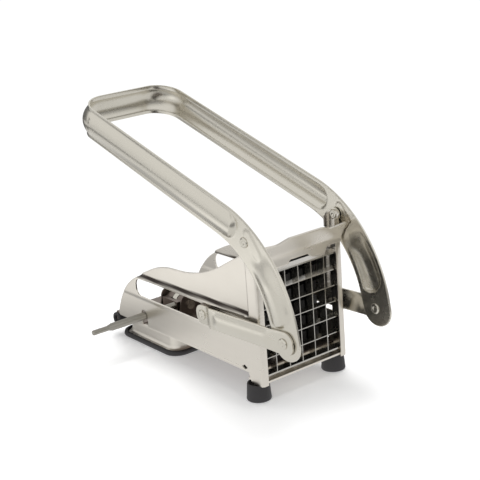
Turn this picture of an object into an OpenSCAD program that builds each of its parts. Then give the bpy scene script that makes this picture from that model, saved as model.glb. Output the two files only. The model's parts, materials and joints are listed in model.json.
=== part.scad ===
// Lever french fry cutter: a handle drives a peg block through a trough and
// presses the food through a lift-out blade cassette; a lever-worked suction
// base holds the machine to the table.
// +X is the machine's right, +Y its rear (the grip end), +Z is up.
// Origin: middle of the suction pad's underside, on the table.

/* [Blades] */
// Pitch of the square cells, which is the width of one fry
cell = 12; // [11:0.5:12.5]
// Cells along each side of the grid
cells = 6; // [6:1:6]
// Blade strip thickness
blade_t = 0.6; // [0.4:0.1:0.8]
// Blade depth, front edge to rear edge
blade_deep = 6.6; // [6:0.2:7]
// Side plates of the cassette
cassette_t = 1.5; // [1.2:0.1:1.8]
// Depth of the cassette frame
cassette_deep = 7.2; // [7:0.1:7.6]

/* [Frame] */
// Sheet thickness of the frame
sheet = 1.2; // [1:0.1:1.5]
// Height of the trough floor's underside over the table
floor_z = 19.5; // [18:0.5:22]
// Pad's rear end behind the rear end of the side panels
pad_tail = 7; // [5:0.5:9]
// Length of the side panels behind the blade front
panel_len = 182.5; // [178:0.5:186]
// Height of the posts' ears
ear_top = 121.5; // [120:0.5:124]
// Depth of each post, front to rear
post_deep = 12.7; // [12:0.1:14]
// Inward fold at the front of each post
post_fold = 5.4; // [4:0.1:6]
// Height of the slide slots
slot_h = 14.3; // [14:0.1:15]
// Height of the slot's lower edge over the trough floor's underside
slot_rise = 24.5; // [24:0.5:26]
// Rear end of the slide slots, in front of the panels' rear end
slot_back = 31.5; // [30:0.5:33]
// Depth of the pressed field below the slots
field_press = 0.5; // [0.3:0.1:0.6]

/* [Handle] */
// Pivot's place behind the blade front
pivot_y = 4; // [3:0.5:5]
// Pivot's height over the table
pivot_z = 118.2; // [117:0.2:119]
// Pivot to link pin
crank = 72.4; // [70:0.2:74]
// Link pin's angle in front of straight down, at rest
crank_rest = 30.3; // [29:0.1:31]
// Slope of the straight part of the handle at rest
handle_slope = 16.2; // [15:0.1:18]
// Grip's middle behind the pivot
grip_back = 190; // [186:1:194]
// Grip's middle over the pivot
grip_up = 59.9; // [58:0.1:62]
// Width of the handle's sheet band
band_w = 24.4; // [23:0.2:25]
// Flat rims beside the band's pressed bulges
rim_w = 2.5; // [2:0.1:3]
// Sheet thickness of the handle and links
arm_t = 1.5; // [1.3:0.1:1.6]
// Height of the bulges' crowns over their sides
crown_t = 1.6; // [1:0.1:2]
// Width of the step between a bulge's side and its crown
crown_in = 1.8; // [1.5:0.1:2.5]
// Outer face of the arms over the frame's side
arm_out = 6.5; // [6.4:0.1:7.5]
// Outer corner radius of the handle loop, seen from above
loop_r = 24; // [20:0.5:28]
// Rivet shank radius
rivet_r = 2.5; // [2:0.1:2.6]

/* [Links] */
// Pin to pin length of a link
link_len = 94; // [93:0.2:95]
// Height of a link
link_h = 15.5; // [14:0.1:16]
// Width of a link's raised rib
rib_w = 9; // [8:0.5:10]

/* [Pusher] */
// Side of one square peg
peg = 9; // [8:0.5:9]
// Length of the pegs
peg_len = 11; // [8:0.5:12]
// Thickness of the block behind the pegs
block_t = 8.5; // [6:0.5:8.5]
// Front of the pegs behind the blade front, at rest
peg_front = 22; // [22:0.5:23]
// Sheet thickness of the carriage
carriage_t = 2; // [1.5:0.1:2]

/* [Suction base] */
// Half-width of the rubber pad
pad_half = 36.4; // [35:0.2:37]
// Length of the rubber pad
pad_len = 79; // [76:0.5:80]
// Thickness of the pad's rim
pad_rim = 4; // [3:0.5:5]
// Height of the lever's pin over the table
cam_z = 28; // [27:0.5:29]
// Length of the suction lever from the pin to its tip
lever_len = 87; // [80:1:90]
// Radius of the lever rod
rod_r = 3; // [2.5:0.1:3]
// Lift of the stud
stud_lift = 3; // [2:0.5:3]

/* [Feet and bumper] */
// Height of the front feet
foot_h = 12.5; // [11:0.5:13]
// Radius of a foot at the table
foot_r = 9; // [8:0.5:9]
// Radius of the rear bumper tube
bumper_r = 5.5; // [4.5:0.1:5.6]

/* [Clearances] */
// Radial running fit of pins
run_fit = 0.05; // [0.02:0.01:0.1]
// Side play between parts that pass each other
side_gap = 0.3; // [0.3:0.05:0.5]
// Play of the cassette between the posts, each side
cassette_gap = 0.8; // [0.6:0.1:1]

/* [Hidden] */
$fn = 48;
big = 400;
// Grid and trough
grid = cell * cells;
grid_half = grid / 2;
cassette_half = grid_half + cassette_t;
inner_half = cassette_half + cassette_gap;
outer_half = inner_half + sheet;
wall_half = grid_half - 1;
grid_top = floor_z + grid;
floor_top = floor_z + sheet;
reach = panel_len - pad_len / 2 + pad_tail;
blade_y = -reach;
handle_half = outer_half + arm_out;
// Slots and pusher pin
slot_end = panel_len - slot_back;
slot_z = floor_z + slot_rise;
slot_mid = slot_z + slot_h / 2;
ledge_rear = slot_z + slot_h + 2.2;
ledge_front = ledge_rear + 3.5;
// Link pin and pusher pin at rest, behind the blade front
pin_y = pivot_y - crank * sin(crank_rest);
pin_z = pivot_z - crank * cos(crank_rest);
link_tilt = asin((slot_mid - pin_z) / link_len);
push_y = pin_y + link_len * cos(link_tilt);
// Middle of the grip
grip_y = pivot_y + grip_back;
grip_z = pivot_z + grip_up;
// Layers from the frame outwards
tab_x = outer_half + 0.4;
low_x = outer_half + 1.2;
link_x = low_x + arm_t + side_gap + 0.05;
rib_x = link_x + arm_t;
crown_x = handle_half - crown_t;
head_t = 1.3;
// Pusher
block_half = wall_half - 0.5;
block_low = floor_top + side_gap;
block_y = peg_front + peg_len;
carriage_y = block_y + block_t;
slider_r = slot_h / 2 - 0.25;
arm_inner = inner_half - side_gap - carriage_t;
// Suction mechanism
cheek_in = 12.8;
cam_in = 3.2;
cam_out = 10;
rod_y = -(cam_in + cam_out) / 2;
eye_half = 2.6;
eye_r = 5.6;
eye_way_r = eye_r + 1.2;
cam_back = 10;
cam_high = 3.5;
pin_r = 2.5;
stud_r = 3;
stud_head_r = 6;
pad_web = 1.5;
dome_half = pad_half - 2.9;
dome_len = pad_len - 7;

// ---- Outline helpers ------------------------------------------------------

function xy(p) = [p[0], p[1]];
function unit(v) = v / norm(v);
function spin(v, a) = [v.x * cos(a) - v.y * sin(a), v.x * sin(a) + v.y * cos(a)];
function turn(a, b) = sign(a.y * b.x - a.x * b.y);

// Arc of radius r that rounds corner c between its neighbours p and n
function corner(p, c, n, r, k = 8) =
    r <= 0 ? [c] :
    let(a = unit(p - c), b = unit(n - c), half = acos(a * b) / 2,
        mid = c + unit(a + b) * r / sin(half),
        from = c + a * r / tan(half) - mid,
        sweep = (180 - 2 * half) * turn(a, b))
    [for (i = [0:k]) mid + spin(from, sweep * i / k)];

// Outline from corners [u, v, radius], listed anticlockwise
function rounded(c) =
    let(n = len(c))
    [for (i = [0:n - 1])
        each corner(xy(c[(i + n - 1) % n]), xy(c[i]), xy(c[(i + 1) % n]), c[i][2])];

// The same corners moved inwards by t
function inset(c, t) =
    let(n = len(c))
    [for (i = [0:n - 1])
        let(m = xy(c[i]), a = unit(xy(c[(i + n - 1) % n]) - m),
            b = unit(xy(c[(i + 1) % n]) - m), half = acos(a * b) / 2,
            s = turn(a, b), q = m + unit(a + b) * s * t / sin(half))
        [q.x, q.y, c[i][2] <= 0 ? 0 : max(c[i][2] - s * t, 0.3)]];

function box_corners(x0, y0, x1, y1, r = 0) =
    [[x0, y0, r], [x1, y0, r], [x1, y1, r], [x0, y1, r]];

// A profile drawn in (Y, Z), raised along X from x0
module yz(x0, t)
    translate([x0, 0, 0]) rotate([90, 0, 90]) linear_extrude(height = t) children();

// A profile drawn in (X, Z), raised along Y from y0
module xz(y0, t)
    translate([0, y0 + t, 0]) rotate([90, 0, 0]) linear_extrude(height = t) children();

module shape(c) polygon(rounded(c));

module rod_x(x0, x1, y, z, r)
    translate([x0, y, z]) rotate([0, 90, 0]) cylinder(h = x1 - x0, r = r);

module rod_along_y(y0, y1, x, z, r)
    translate([x, y0, z]) rotate([-90, 0, 0]) cylinder(h = y1 - y0, r = r);

module from_blades() translate([0, blade_y, 0]) children();
module both_sides() for (s = [0, 1]) mirror([s, 0, 0]) children();

// ---- Frame ----------------------------------------------------------------

rail_corners = [[13.5, floor_z, 0], [panel_len, floor_z, 2],
    [panel_len - 9, floor_z + 27.8, 62], [panel_len - 35, ledge_rear - 0.3, 0],
    [9.5, ledge_front, 0]];
post_corners = [[-2, foot_h, 0], [post_deep - 2, foot_h, 0],
    [post_deep - 2, ear_top, 4.5], [-2, ear_top, 3]];
wall_corners = [[9.5, ledge_front - sheet, 0], [panel_len - 36.5, ledge_rear - sheet, 0],
    [panel_len - 37.8, ledge_rear + 2.3, 0], [118.5, ledge_rear + 14.1, 85],
    [67.3, ledge_rear + 16.8, 122], [9.5, ledge_rear + 48.5, 0]];
field_corners = [[14, floor_z - 1, 0], [panel_len + 2, floor_z - 1, 0],
    [panel_len + 2, slot_z - 1.9, 0], [14, slot_z - 1.9, 7]];
slot_corners = box_corners(-0.5, slot_z, slot_end, slot_z + slot_h, 6);

// One side of the frame, for +X
module side_sheet() {
    difference() {
        union() {
            yz(inner_half, sheet) shape(rail_corners);
            yz(inner_half, sheet) shape(post_corners);
            yz(inner_half - field_press, field_press)
                intersection() {
                    shape(inset(rail_corners, 0.4));
                    shape(field_corners);
                }
        }
        yz(outer_half - field_press, 1) shape(field_corners);
        yz(inner_half - 1, 3) shape(slot_corners);
        yz(inner_half - 1, 3)
            polygon([[14.6, floor_z + 2.8], [18, floor_z + 1], [21.3, floor_z + 2.8],
                [18, floor_z + 4.6]]);
        rod_x(inner_half - 1, outer_half + 1, pivot_y, pivot_z, rivet_r + run_fit);
    }
    // Upper wall, stepped in over the slot
    yz(wall_half, sheet) shape(wall_corners);
    yz(wall_half, outer_half - wall_half)
        polygon([[9.5, ledge_front - sheet], [panel_len - 36.5, ledge_rear - sheet],
            [panel_len - 36.5, ledge_rear], [9.5, ledge_front]]);
    // Rear fold of the post and its ear
    yz(wall_half, outer_half - wall_half)
        polygon([[post_deep - 3.2, ledge_front - sheet],
            [post_deep - 2, ledge_front - sheet],
            [post_deep - 2, ear_top - 5], [post_deep - 3.2, ear_top - 5]]);
    // Front fold of the post
    yz(outer_half - post_fold, post_fold)
        polygon([[-2, foot_h], [-2 + sheet, foot_h], [-2 + sheet, ear_top - 3.5],
            [-2, ear_top - 3.5]]);
}

module side_panel_right() color("Silver") from_blades() side_sheet();

module side_panel_left() color("Silver")
    difference() {
        mirror([1, 0, 0]) from_blades() side_sheet();
        // Notch for the suction lever
        translate([-outer_half - 1, rod_y - rod_r - 1, floor_z - 1])
            cube([sheet + field_press + 2, 2 * rod_r + 2, cam_z + rod_r + 1.5 - floor_z]);
    }

module floor_plate() color("Gainsboro")
    difference() {
        union() {
            translate([-inner_half + field_press, blade_y + 10, floor_z])
                cube([2 * (inner_half - field_press), reach + bumper_y() + sheet / 2 - 10,
                    sheet]);
            // Rear lip that the bumper grips
            translate([-inner_half + field_press, bumper_y() - sheet / 2, bumper_z() - 1])
                cube([2 * (inner_half - field_press), sheet, floor_z - bumper_z() + 1.5]);
        }
        translate([0, 0, floor_z - 1]) cylinder(h = 4, r = eye_way_r);
        // Way for the lever rod when it is pressed down
        translate([-inner_half - 1, rod_y - rod_r - 1, floor_z - 1])
            cube([inner_half - 13, 2 * rod_r + 2, 4]);
    }

function bumper_y() = panel_len - reach + 4;
function bumper_z() = floor_z - bumper_r;

// Hand guard over the blades, in front of the ears
module guard_plate() color("Silver")
    from_blades() intersection() {
        yz(-outer_half, 2 * outer_half)
            polygon([[-2, grid_top + 2], [-2, grid_top + 11.4], [-2.5, grid_top + 12.1],
                [-11.4, grid_top + 26.2], [-12.4, grid_top + 25.5],
                [-3.2, grid_top + 11], [-3.2, grid_top + 2]]);
        xz(-20, 30)
            shape([[-outer_half, grid_top + 8, 0], [-26, grid_top + 8, 1.5],
                [-24, grid_top + 3.8, 2.5], [-11, grid_top + 3.8, 2.5],
                [-8, grid_top + 6.8, 1.5], [8, grid_top + 6.8, 1.5],
                [11, grid_top + 3.8, 2.5], [24, grid_top + 3.8, 2.5],
                [26, grid_top + 8, 1.5], [outer_half, grid_top + 8, 0],
                [outer_half, grid_top + 23.8, 2], [24, grid_top + 22.3, 12],
                [15, grid_top + 25.5, 8], [-15, grid_top + 25.5, 8],
                [-24, grid_top + 22.3, 12], [-outer_half, grid_top + 23.8, 2]]);
    }

module front_sill() color("Silver")
    from_blades() difference() {
        union() {
            translate([-inner_half, -2 + sheet, foot_h + 1.2])
                cube([2 * inner_half, 16, arm_t]);
            translate([-inner_half, 10.4, foot_h + 1.2])
                cube([2 * inner_half, sheet, floor_z - foot_h - 1.2]);
        }
        for (s = [-1, 1])
            translate([s * (outer_half - 8), 8.7, 0]) cylinder(h = 30, r = 2 + run_fit);
    }

module front_foot() color("DarkSlateGray")
    from_blades() difference() {
        translate([outer_half - 4.2, 8.7, 0])
            cylinder(h = foot_h, r1 = foot_r, r2 = foot_r - 1);
        translate([outer_half - 8, 8.7, -1]) cylinder(h = foot_h + 2, r = 2.3);
        translate([outer_half - 8, 8.7, -1]) cylinder(h = 6, r = 4.2);
    }

module front_foot_right() front_foot();
module front_foot_left() mirror([1, 0, 0]) front_foot();

module foot_screws() color("Silver")
    from_blades() both_sides() translate([outer_half - 8, 8.7, 0]) {
        translate([0, 0, 3]) cylinder(h = 2, r = 3.8);
        translate([0, 0, 4]) cylinder(h = foot_h - 1, r = 2);
    }

module rear_bumper() color("DimGray")
    difference() {
        rod_x(-outer_half + 0.5, outer_half - 0.5, bumper_y(), bumper_z(), bumper_r);
        rod_x(-big / 2, big / 2, bumper_y(), bumper_z(), bumper_r - 2.6);
        translate([-big / 2, bumper_y() - sheet / 2 - 0.02, bumper_z()])
            cube([big, sheet + 0.04, bumper_r + 1]);
    }

module pivot_rivets() color("Silver")
    from_blades() both_sides() {
        rod_x(inner_half - 0.5, low_x + arm_t + 0.1, pivot_y, pivot_z, rivet_r);
        rod_x(inner_half - 0.5, inner_half, pivot_y, pivot_z, rivet_r + 1);
        rod_x(low_x + arm_t + 0.1, low_x + arm_t + 0.1 + head_t, pivot_y, pivot_z,
            rivet_r + 1.3);
    }

module pivot_washers() color("Silver")
    from_blades() both_sides() difference() {
        rod_x(outer_half, low_x - 0.1, pivot_y, pivot_z, 5);
        rod_x(outer_half - 1, low_x + 1, pivot_y, pivot_z, rivet_r + run_fit);
    }

// ---- Suction base ---------------------------------------------------------

module slab(half_x, half_y, r, z0, h)
    translate([0, 0, z0]) linear_extrude(height = h)
        shape(box_corners(-half_x, -half_y, half_x, half_y, r));

module dome_body(off) {
    hull() {
        slab(dome_half - off, dome_len / 2 - off, 10, pad_web + off, 3.2 - off);
        slab(dome_half - 6 - off, dome_len / 2 - 5.5 - off, 12, pad_web + 7, 0.5);
    }
    hull() {
        slab(dome_half - 6 - off, dome_len / 2 - 5.5 - off, 12, pad_web + 7, 0.5);
        slab(dome_half - 16 - off, dome_len / 2 - 11 - off, 12, floor_z - 0.5 - off, 0.5);
    }
}

module suction_dome() color("Silver")
    difference() {
        dome_body(0);
        difference() {
            dome_body(sheet);
            cylinder(h = 3, r = 1);
        }
        slab(dome_half - 4, dome_len / 2 - 4, 8, 0, pad_web + sheet + 1);
        translate([0, 0, floor_z - 4]) cylinder(h = 6, r = stud_r + 0.4);
    }

module suction_pad() color("Black")
    difference() {
        union() {
            slab(pad_half, pad_len / 2, 12, 0, pad_rim);
            cylinder(h = 10.5, r = stud_head_r + 4);
        }
        difference() {
            slab(dome_half + 0.3, dome_len / 2 + 0.3, 10.3, pad_web, 10);
            cylinder(h = 12, r = stud_head_r + 4);
            difference() {
                slab(dome_half - 5, dome_len / 2 - 5, 7, 0, pad_web + 1.5);
                slab(dome_half - 8, dome_len / 2 - 8, 5, 0, pad_web + 3);
            }
        }
        // Hollow that the stud's head pulls up against
        translate([0, 0, pad_web]) cylinder(h = 2.4 + stud_lift, r = stud_head_r + 0.4);
        translate([0, 0, pad_web]) cylinder(h = 12, r = stud_r + 0.4);
    }

// Fork that holds the lever's pin over the stud
module cam_bracket() color("Silver")
    difference() {
        union() {
            translate([-11, -cheek_in - sheet, floor_top])
                cube([22, 2 * (cheek_in + sheet), sheet]);
            for (s = [0, 1]) mirror([0, s, 0])
                xz(-cheek_in - sheet, sheet)
                    shape([[-11, floor_top, 0], [11, floor_top, 0],
                        [7.5, cam_z + 9, 6], [-7.5, cam_z + 9, 6]]);
        }
        rod_along_y(-20, 20, 0, cam_z, pin_r + run_fit);
        translate([0, 0, floor_z - 1]) cylinder(h = 5, r = eye_way_r);
    }

module cam_pin() color("Silver") {
    rod_along_y(-cheek_in - sheet - 1.2, cheek_in + sheet + 1.2, 0, cam_z, pin_r);
    for (s = [0, 1]) mirror([0, s, 0])
        rod_along_y(cheek_in + sheet, cheek_in + sheet + 1.2, 0, cam_z, pin_r + 1.2);
}

// Forked cam: two cheeks that straddle the stud's eye
module lever_cam() color("Silver")
    difference() {
        union() {
            for (s = [0, 1]) mirror([0, s, 0])
                rod_along_y(cam_in, cam_out, 0, cam_z, 6);
            for (y = [-cam_out, cam_in])
                translate([-cam_back, y, cam_z - cam_high])
                    cube([cam_back, cam_out - cam_in, 2 * cam_high]);
            translate([-cam_back, -cam_out, cam_z - cam_high])
                cube([cam_back - eye_r - 1.4, 2 * cam_out, 2 * cam_high]);
        }
        rod_along_y(-20, 20, 0, cam_z, pin_r + run_fit);
        rod_x(-cam_back - 2, -7, rod_y, cam_z, rod_r);
    }

module lever_rod() color("Silver") {
    rod_x(-outer_half - 34, -7, rod_y, cam_z, rod_r);
    translate([-outer_half - 34, rod_y, cam_z]) rotate([0, -90, 0]) {
        cylinder(h = 3, r1 = rod_r, r2 = 2);
        cylinder(h = lever_len - outer_half - 36, r = 2);
        translate([0, 0, lever_len - outer_half - 36]) sphere(r = 2);
    }
}

module suction_stud() color("Silver")
    difference() {
        union() {
            translate([0, 0, pad_web + 0.3]) cylinder(h = 2, r = stud_head_r);
            translate([0, 0, pad_web + 1]) cylinder(h = cam_z - 10.5, r = stud_r);
            xz(-eye_half, 2 * eye_half)
                shape([[-eye_r, cam_z - 8.2, 2], [eye_r, cam_z - 8.2, 2],
                    [eye_r, cam_z + 6, 5], [-eye_r, cam_z + 6, 5]]);
        }
        // Long eye: the stud rises past the fixed pin
        xz(-5, 10)
            shape(box_corners(-pin_r - 0.3, cam_z - pin_r - 0.3 - stud_lift,
                pin_r + 0.3, cam_z + pin_r + 0.3, pin_r + 0.25));
    }

// ---- Handle ---------------------------------------------------------------

// The band's own frame: from the grip's middle, Y along the straight stretch
module in_band()
    translate([0, grip_y, grip_z]) rotate([handle_slope, 0, 0]) children();

// A corner at (y, z) from the lower pin, in that frame, with its radius
function band(y, z, r) =
    let (a = pin_y + y - grip_y, b = pin_z + z - grip_z, c = cos(handle_slope),
        d = sin(handle_slope))
    [a * c + b * d, b * c - a * d, r];

// Arms end where the loop's corners start
arm_end = 16 - loop_r;
bulge_half = band_w / 2 - rim_w;
arm_corners = [[arm_end, band_w / 2, 0], [-45.7 - grip_back, band_w / 2, 98],
    band(-17.4, -12.7, 12.9), band(8.9, -12.7, 12.9),
    [-23.7 - grip_back, -band_w / 2, 75], [arm_end, -band_w / 2, 0]];

// Bulge along the straight stretch, run on by d past the arm's end
function upper_bulge(d = 0) = [[arm_end + d, bulge_half, 0],
    [2.1 - grip_back, bulge_half, 8], [2.1 - grip_back, -bulge_half, 8],
    [arm_end + d, -bulge_half, 0]];

// Bulge between the pivot and the lower pin
lower_bulge = [band(21, 60, 7), band(-3.5, 40.3, 54), band(-10.5, 10.6, 8.5),
    band(11, 10.6, 8.5), band(18.7, 36.5, 34), band(32, 48, 6)];

// One arm, for +X: a flat band with two bulges pressed outwards
module handle_arm()
    difference() {
        in_band() difference() {
            union() {
                yz(low_x, arm_t) shape(arm_corners);
                yz(low_x, crown_x - low_x) bulges(0);
                yz(low_x, handle_half - low_x) bulges(crown_in);
            }
            yz(low_x - 1, crown_x - arm_t - low_x + 1) bulges(arm_t);
            yz(low_x - 1, handle_half - arm_t - low_x + 1) bulges(crown_in + arm_t);
        }
        rod_x(low_x - 1, handle_half + 1, pin_y, pin_z, rivet_r + run_fit);
        rod_x(low_x - 1, handle_half + 1, pivot_y, pivot_z, rivet_r + run_fit);
    }

// Both bulges' outlines, drawn in by d
module bulges(d) {
    shape(inset(upper_bulge(d), d));
    shape(inset(lower_bulge, d));
}

// The band's section round the loop: u is the distance out from the corner's
// middle, v the height over the band's middle line
module loop_section(r) {
    foot = r - handle_half + low_x;
    crown = r - crown_t;
    outer = [[foot, band_w / 2], [foot + arm_t, band_w / 2], [foot + arm_t, bulge_half],
        [crown, bulge_half], [crown, bulge_half - crown_in], [r, bulge_half - crown_in]];
    inner = [[r - arm_t, bulge_half - crown_in - arm_t],
        [crown - arm_t, bulge_half - crown_in - arm_t], [crown - arm_t, bulge_half - arm_t],
        [foot, bulge_half - arm_t]];
    polygon([each outer, each lowered(outer), each lowered(inner), each inner]);
}

// Points mirrored below the middle line, in the reverse order
function lowered(c) = [for (i = [len(c) - 1:-1:0]) [c[i].x, -c[i].y]];

module handle_loop() {
    half = handle_half - loop_r;
    in_band() translate([0, arm_end, 0]) {
        translate([half, 0, 0]) rotate_extrude(angle = 90) loop_section(loop_r);
        translate([-half, 0, 0]) rotate([0, 0, 90]) rotate_extrude(angle = 90)
            loop_section(loop_r);
        translate([half, 0, 0]) rotate([0, -90, 0]) linear_extrude(height = 2 * half)
            rotate(90) loop_section(loop_r);
    }
}

module handle() color("Gainsboro")
    from_blades() {
        both_sides() handle_arm();
        handle_loop();
    }

module lower_rivets() color("Silver")
    from_blades() both_sides() {
        rod_x(low_x - 0.8, rib_x + 0.1, pin_y, pin_z, rivet_r);
        rod_x(low_x - 0.8, low_x, pin_y, pin_z, rivet_r + 1.4);
        rod_x(rib_x + 0.1, rib_x + 0.1 + head_t, pin_y, pin_z, rivet_r + 1.4);
    }

// ---- Links ----------------------------------------------------------------

// Joggle between the bar and the rear tab
step_from = link_len - 12;
step_to = link_len - 6;
link_corners = [[-9.6, -8.6, 8.2], [14, -link_h / 2, 30], [step_from, -link_h / 2, 0],
    [step_from, link_h / 2, 0], [14, link_h / 2, 30], [-9.6, 8.6, 8.2]];
tab_corners = [[step_to, -7.2, 0], [link_len + 7, -7.2, 6.5], [link_len + 7, 7.2, 6.5],
    [step_to, 7.2, 0]];

// One link, for +X, laid from the handle's lower pin towards the pusher
module link()
    translate([0, pin_y, pin_z]) rotate([link_tilt, 0, 0]) difference() {
        union() {
            yz(link_x, arm_t) shape(link_corners);
            yz(rib_x, 1.2)
                shape(box_corners(13, -rib_w / 2, step_from - 8, rib_w / 2,
                    rib_w / 2 - 0.05));
            // Joggle towards the frame
            translate([0, 0, -7.2]) linear_extrude(height = 14.4)
                polygon([[link_x, step_from], [tab_x, step_to], [tab_x + arm_t, step_to],
                    [rib_x, step_from]]);
            yz(tab_x, arm_t) shape(tab_corners);
        }
        rod_x(link_x - 1, rib_x + 2, 0, 0, rivet_r + run_fit);
        rod_x(tab_x - 1, tab_x + 3, link_len, 0, rivet_r + run_fit);
    }

module link_right() color("Gainsboro") from_blades() link();
module link_left() color("Gainsboro") from_blades() mirror([1, 0, 0]) link();

module link_rivets() color("Silver")
    from_blades() both_sides()
        translate([0, pin_y, pin_z]) rotate([link_tilt, 0, 0]) {
            rod_x(tab_x, tab_x + arm_t, link_len, 0, rivet_r);
            rod_x(tab_x + arm_t, tab_x + arm_t + head_t, link_len, 0, rivet_r + 1.3);
        }

// ---- Pusher ---------------------------------------------------------------

module pusher_block() color("Black")
    from_blades() difference() {
        union() {
            translate([-block_half, block_y, block_low])
                cube([2 * block_half, block_t, grid_top - 1.5 - block_low]);
            for (i = [0:cells - 1], k = [0:cells - 1])
                translate([(i + 0.5) * cell - grid_half - peg / 2, peg_front,
                    floor_z + (k + 0.5) * cell - peg / 2])
                    cube([peg, peg_len + 0.5, peg]);
        }
        for (s = [-1, 1], z = [-1, 1])
            rod_along_y(block_y + 2, carriage_y + 1, s * 22, slot_mid + z * 14, 2 + run_fit);
    }

module pusher_carriage() color("Silver")
    from_blades() difference() {
        union() {
            xz(carriage_y, carriage_t)
                shape(box_corners(-wall_half + 2, slot_mid - 22, wall_half - 2,
                    slot_mid + 22, 4));
            xz(carriage_y, carriage_t)
                shape(box_corners(-arm_inner - carriage_t, slot_z + 0.5,
                    arm_inner + carriage_t, slot_z + slot_h - 0.5));
            both_sides() {
                yz(arm_inner, carriage_t)
                    shape([[carriage_y, slot_z + 0.5, 0],
                        [push_y + 7, slot_z + 0.5, 6.4],
                        [push_y + 7, slot_z + slot_h - 0.5, 6.4],
                        [carriage_y, slot_z + slot_h - 0.5, 0]]);
                rod_x(arm_inner, outer_half - 0.05, push_y, slot_mid, slider_r);
            }
        }
        for (s = [-1, 1], z = [-1, 1])
            rod_along_y(carriage_y - 1, carriage_y + 5, s * 22, slot_mid + z * 14,
                2 + run_fit);
    }

module carriage_screws() color("Silver")
    from_blades()
        for (s = [-1, 1], z = [-1, 1]) {
            rod_along_y(block_y + 3, carriage_y + carriage_t, s * 22, slot_mid + z * 14, 2);
            rod_along_y(carriage_y + carriage_t, carriage_y + carriage_t + 1.6, s * 22,
                slot_mid + z * 14, 3.6);
        }

// ---- Blade cassette -------------------------------------------------------

module cassette_frame() color("Silver")
    from_blades() difference() {
        union() {
            both_sides()
                translate([grid_half, 0, foot_h + 3])
                    cube([cassette_t, cassette_deep, grid_top + sheet - foot_h - 3]);
            for (z = [floor_z - sheet, grid_top])
                translate([-grid_half, 0, z]) cube([grid, cassette_deep, sheet]);
        }
        // Piercings that take the ends of the level blades
        for (i = [1:cells - 1])
            yz(-big / 2, big)
                translate([cassette_deep / 2, floor_z + i * cell]) rotate(45)
                    square(3.6, center = true);
    }

module vertical_blades() color("WhiteSmoke")
    from_blades() difference() {
        for (i = [1:cells - 1])
            translate([i * cell - grid_half - blade_t / 2, 0.3, floor_z])
                cube([blade_t, blade_deep, grid]);
        for (k = [1:cells - 1])
            translate([-grid_half, 0.3 + blade_deep / 2 - run_fit / 2,
                floor_z + k * cell - blade_t / 2 - run_fit])
                cube([grid, blade_deep, blade_t + 2 * run_fit]);
    }

module horizontal_blades() color("WhiteSmoke")
    from_blades() difference() {
        for (k = [1:cells - 1]) {
            translate([-grid_half, 0.3, floor_z + k * cell - blade_t / 2])
                cube([grid, blade_deep, blade_t]);
            translate([-grid_half - 1.2, cassette_deep / 2 - 1.4,
                floor_z + k * cell - blade_t / 2])
                cube([grid + 2.4, 2.8, blade_t]);
        }
        for (i = [1:cells - 1])
            translate([i * cell - grid_half - blade_t / 2 - run_fit,
                0.3 - blade_deep / 2 + run_fit / 2, 0])
                cube([blade_t + 2 * run_fit, blade_deep, big]);
    }

// ---- Assembly -------------------------------------------------------------

side_panel_left();
side_panel_right();
floor_plate();
guard_plate();
front_sill();
front_foot_left();
front_foot_right();
foot_screws();
rear_bumper();
pivot_rivets();
pivot_washers();
suction_dome();
suction_pad();
cam_bracket();
cam_pin();
lever_cam();
lever_rod();
suction_stud();
handle();
lower_rivets();
link_left();
link_right();
link_rivets();
pusher_block();
pusher_carriage();
carriage_screws();
cassette_frame();
vertical_blades();
horizontal_blades();
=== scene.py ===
"""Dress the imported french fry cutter: pressed sheet steel, rubber and moulded plastic."""

import json
import math

import bpy
import numpy as np
from bpy.props import FloatProperty, FloatVectorProperty, PointerProperty
from mathutils import Matrix, Vector
from mathutils.geometry import delaunay_2d_cdt


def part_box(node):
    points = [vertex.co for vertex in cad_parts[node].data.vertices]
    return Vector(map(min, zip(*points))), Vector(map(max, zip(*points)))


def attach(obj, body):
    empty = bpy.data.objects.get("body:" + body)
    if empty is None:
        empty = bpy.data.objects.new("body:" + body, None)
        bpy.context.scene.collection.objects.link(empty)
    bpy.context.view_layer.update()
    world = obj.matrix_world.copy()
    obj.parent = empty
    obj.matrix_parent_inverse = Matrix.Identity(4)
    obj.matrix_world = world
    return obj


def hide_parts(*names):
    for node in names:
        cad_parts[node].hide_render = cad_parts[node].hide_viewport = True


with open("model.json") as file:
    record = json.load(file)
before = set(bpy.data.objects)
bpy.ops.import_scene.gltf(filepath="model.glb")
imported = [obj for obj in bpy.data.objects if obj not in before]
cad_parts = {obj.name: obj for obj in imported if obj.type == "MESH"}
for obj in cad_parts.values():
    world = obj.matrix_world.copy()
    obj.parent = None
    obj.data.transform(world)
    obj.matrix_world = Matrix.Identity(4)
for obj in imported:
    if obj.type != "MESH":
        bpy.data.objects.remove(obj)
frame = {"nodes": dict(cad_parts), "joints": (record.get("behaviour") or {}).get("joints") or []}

bl_info = {
    "name": "French Fry Cutter",
    "version": (1, 0, 0),
    "blender": (4, 5, 0),
    "location": "View3D > Sidebar > Fry Cutter",
    "description": "Dresses a lever french fry cutter on its packed frame",
    "category": "Object",
}

MM = 0.001


def low(node):
    """Lowest corner of a frame node, in millimetres."""
    return Vector(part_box(node)[0]) / MM


def high(node):
    """Highest corner of a frame node, in millimetres."""
    return Vector(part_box(node)[1]) / MM


def joint_at(name):
    """A hinge's place in the frame, in millimetres."""
    for joint in frame["joints"]:
        if joint["name"] == name:
            return Vector(joint["pos_m"]) / MM
    raise ValueError("no joint " + name)


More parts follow.
